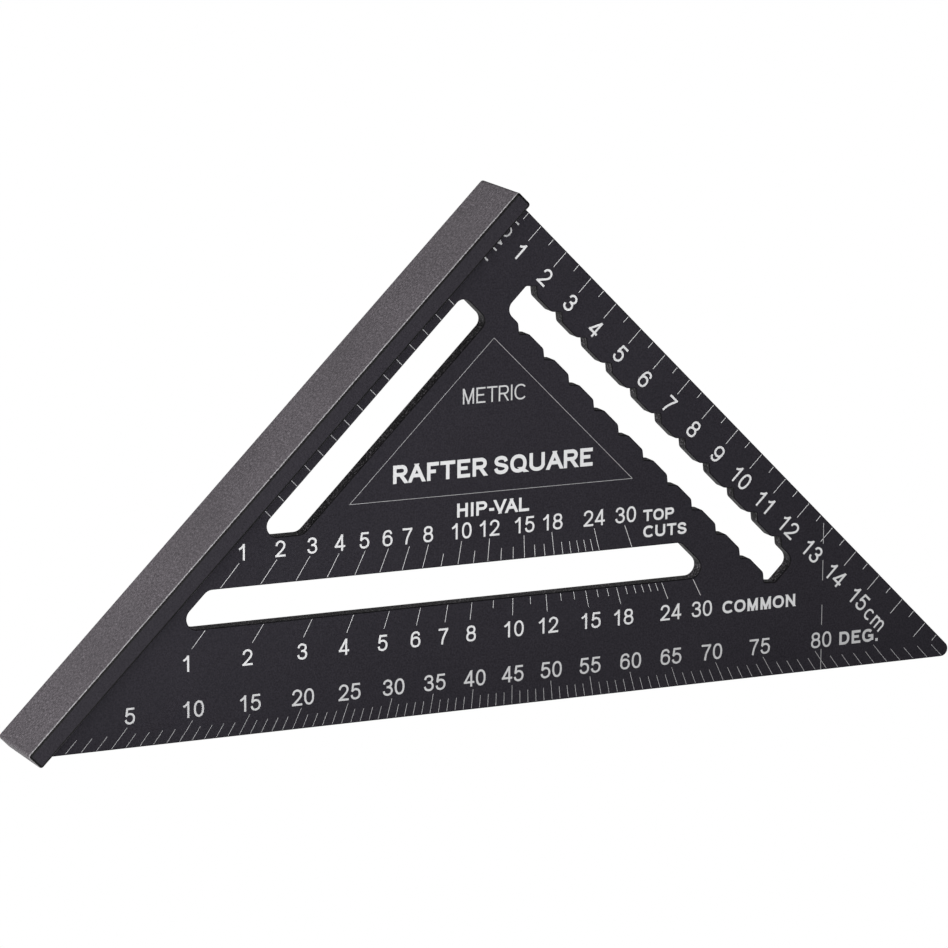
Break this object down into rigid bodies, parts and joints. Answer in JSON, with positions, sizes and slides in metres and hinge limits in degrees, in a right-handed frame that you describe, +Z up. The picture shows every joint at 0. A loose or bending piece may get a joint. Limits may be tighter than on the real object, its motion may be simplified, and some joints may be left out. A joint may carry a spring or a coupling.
{
  "type": "speed square",
  "caption": "Triangular rafter square: a flat graduated blade with three slots, one of them notched for scribing, and a T-shaped fence along one leg.",
  "frame": {"origin": "middle of the base, on the surface that the long edge stands on, in the blade's middle plane", "axes": "+Z up from the long edge to the right-angled corner, +X along the long edge from the fence's foot to the sharp tip, +Y through the blade's thickness, away from the graduated face"},
  "size_m": [0.2606, 0.022, 0.1331],
  "materials": {
    "anodised_blade": "satin black anodised, light grey graduations",
    "anodised_fence": "sand-blasted black anodised"
  },
  "bodies": {
    "root": {"triangle_blade": "anodised_blade", "fence_bar": "anodised_fence"}
  },
  "joints": []
}
